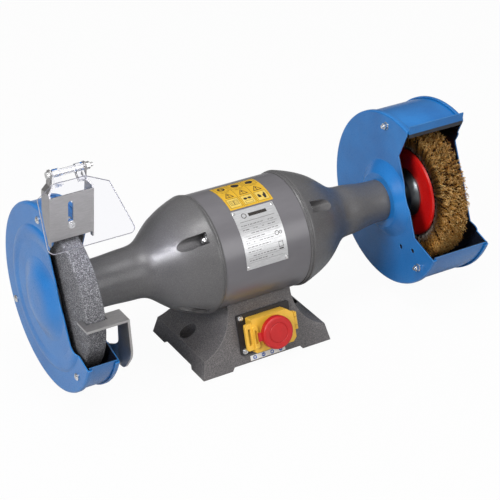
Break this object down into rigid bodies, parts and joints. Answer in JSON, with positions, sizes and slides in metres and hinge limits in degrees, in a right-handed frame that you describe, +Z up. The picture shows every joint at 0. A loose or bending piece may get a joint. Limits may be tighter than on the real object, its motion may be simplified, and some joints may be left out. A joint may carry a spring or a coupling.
{
  "type": "bench grinder",
  "caption": "Two-ended bench grinder: motor on a cast base, guarded grinding wheel at one end, guarded wire brush at the other, eye shield, tool rest and flap switch.",
  "frame": {"origin": "on the bench plane under the spindle, midway between the two bench bolt holes", "axes": "+X along the spindle towards the brush, -Y towards the user, +Z up"},
  "size_m": [0.6438, 0.2423, 0.3336],
  "materials": {
    "hammered_grey": "hammered",
    "barrel_grey": "satin",
    "guard_blue": "semi-gloss enamel",
    "brush_red": "gloss",
    "steel_bare": "brushed",
    "steel_zinc": "zinc plated",
    "steel_dark": "blackened",
    "steel_ground": "ground",
    "lamination": "stacked",
    "copper_wire": "enamelled",
    "aluminium_cast": "cast",
    "rating_silver": "satin",
    "abrasive": "gritty",
    "blotter_paper": "matte",
    "brass_wire": "crimped wire",
    "black_plastic": "matte",
    "terminal_white": "matte",
    "yellow_plastic": "gloss",
    "red_plastic": "gloss",
    "green_plastic": "gloss",
    "clear_plastic": "clear",
    "label_yellow": "printed",
    "label_white": "printed"
  },
  "bodies": {
    "grinder": {"base_casting": "hammered_grey", "base_cover": "steel_bare", "base_screws": "steel_zinc", "cable_gland": "black_plastic", "capacitor": "aluminium_cast", "terminal_block": "terminal_white", "motor_barrel": "barrel_grey", "end_bell_right": "hammered_grey", "end_bell_left": "hammered_grey", "tie_rods": "steel_zinc", "stator_core": "lamination", "stator_windings": "copper_wire", "bearing_outer_rings": "steel_ground", "wheel_guard_plate": "guard_blue", "wheel_guard_band": "guard_blue", "wheel_guard_cover": "guard_blue", "wheel_guard_bolts": "steel_zinc", "brush_guard_plate": "guard_blue", "brush_guard_band": "guard_blue", "brush_guard_cover": "guard_blue", "brush_guard_bolts": "steel_zinc", "arm_flange_screws": "steel_zinc", "tool_rest_bolts": "steel_zinc", "spark_screw": "steel_zinc", "switch_plate": "black_plastic", "switch_screws": "steel_zinc", "switch_body": "black_plastic", "switch_housing": "yellow_plastic", "warning_label": "label_yellow", "rating_plate": "rating_silver", "plate_rivets": "steel_zinc", "base_sticker": "label_white"},
    "rotor": {"spindle_shaft": "steel_ground", "rotor_core": "lamination", "rotor_cage": "aluminium_cast", "bearing_inner_rings": "steel_ground", "bearing_balls": "steel_ground", "grinding_wheel": "abrasive", "wheel_blotters": "blotter_paper", "wheel_flange_inner": "steel_dark", "wheel_flange_outer": "steel_dark", "wheel_nut": "steel_zinc", "brush_flange_inner": "steel_dark", "brush_flange_outer": "steel_dark", "brush_disc_inner": "brush_red", "brush_disc_outer": "brush_red", "brush_hub": "steel_dark", "brush_wires": "brass_wire", "brush_nut": "steel_zinc"},
    "spark_guard": {"spark_bracket": "steel_bare", "hinge_rod": "steel_zinc"},
    "shield": {"eye_shield": "clear_plastic", "shield_clips": "clear_plastic", "hinge_sleeve": "steel_zinc"},
    "rest": {"tool_rest": "steel_bare"},
    "flap": {"switch_flap": "yellow_plastic"},
    "mushroom": {"stop_mushroom": "red_plastic"},
    "start": {"start_button": "green_plastic"},
    "stop": {"stop_button": "red_plastic"}
  },
  "joints": [
    {"name": "spindle_spin", "type": "hinge", "parent": "grinder", "child": "rotor", "pos_m": [0, 0, 0.1415], "axis": [1, 0, 0], "continuous": true},
    {"name": "spark_guard_slide", "type": "slide", "parent": "grinder", "child": "spark_guard", "axis": [0, -0.1052, 0.9944], "range_m": [-0.006, 0.003]},
    {"name": "shield_tilt", "type": "hinge", "parent": "spark_guard", "child": "shield", "pos_m": [-0.2525, -0.04, 0.328], "axis": [1, 0, 0], "range_deg": [-110, 8]},
    {"name": "tool_rest_slide", "type": "slide", "parent": "grinder", "child": "rest", "axis": [0, -0.975, 0.2224], "range_m": [0, 0.0075]},
    {"name": "switch_flap_hinge", "type": "hinge", "parent": "grinder", "child": "flap", "pos_m": [0.0394, -0.076, 0.04682], "axis": [0, 0.2873, 0.9578], "range_deg": [0, 110]},
    {"name": "stop_mushroom_press", "type": "slide", "parent": "flap", "child": "mushroom", "axis": [0, 0.9578, -0.2873], "range_m": [0, 0.003], "stiffness_N_per_m": 400, "springref_m": -0.001},
    {"name": "start_button_press", "type": "slide", "parent": "grinder", "child": "start", "axis": [0, 0.9578, -0.2873], "range_m": [0, 0.002], "stiffness_N_per_m": 400, "springref_m": -0.001},
    {"name": "stop_button_press", "type": "slide", "parent": "grinder", "child": "stop", "axis": [0, 0.9578, -0.2873], "range_m": [0, 0.002], "stiffness_N_per_m": 400, "springref_m": -0.001}
  ]
}
